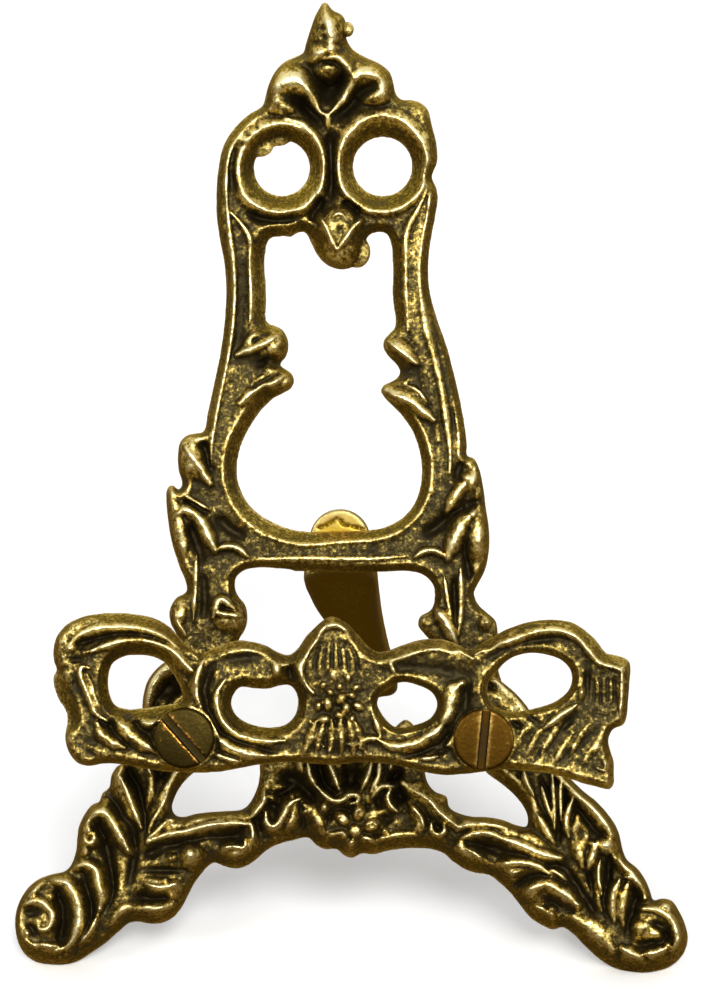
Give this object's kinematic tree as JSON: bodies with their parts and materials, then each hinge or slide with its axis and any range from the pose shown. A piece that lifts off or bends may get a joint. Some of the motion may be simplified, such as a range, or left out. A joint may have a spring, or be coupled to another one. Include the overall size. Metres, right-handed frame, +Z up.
{
  "type": "plate display stand",
  "caption": "Leaning openwork brass easel that shows an upright plate: scroll feet, a pierced front ledge held off on spacers, and a hinged rear strut that folds flat.",
  "frame": {"origin": "on the table, under the middle of the overall box of the opened stand", "axes": "+Z up, the ornamented front faces -Y, the strut stands toward +Y"},
  "size_m": [0.1048, 0.0735, 0.1384],
  "materials": {
    "antique_brass": "sand-cast, dark olive-brown patina in the hollows, worn bright on the ridges",
    "turned_brass": "turned, slightly tarnished",
    "strut_brass": "plain cast, tarnished, bright where it rubs the crossbar"
  },
  "bodies": {
    "stand": {"upright_frame": "antique_brass", "leg_base": "antique_brass", "front_ledge": "antique_brass", "spacer_left": "turned_brass", "spacer_right": "turned_brass", "screw_left": "turned_brass", "screw_right": "turned_brass", "nut_left": "turned_brass", "nut_right": "turned_brass", "hinge_pin": "turned_brass"},
    "strut": {"rear_strut": "strut_brass"}
  },
  "joints": [
    {"name": "strut_hinge", "type": "hinge", "parent": "stand", "child": "strut", "pos_m": [-0.00125, 0.00286, 0.05634], "axis": [1, 0, 0], "range_deg": [-54, 0]}
  ]
}
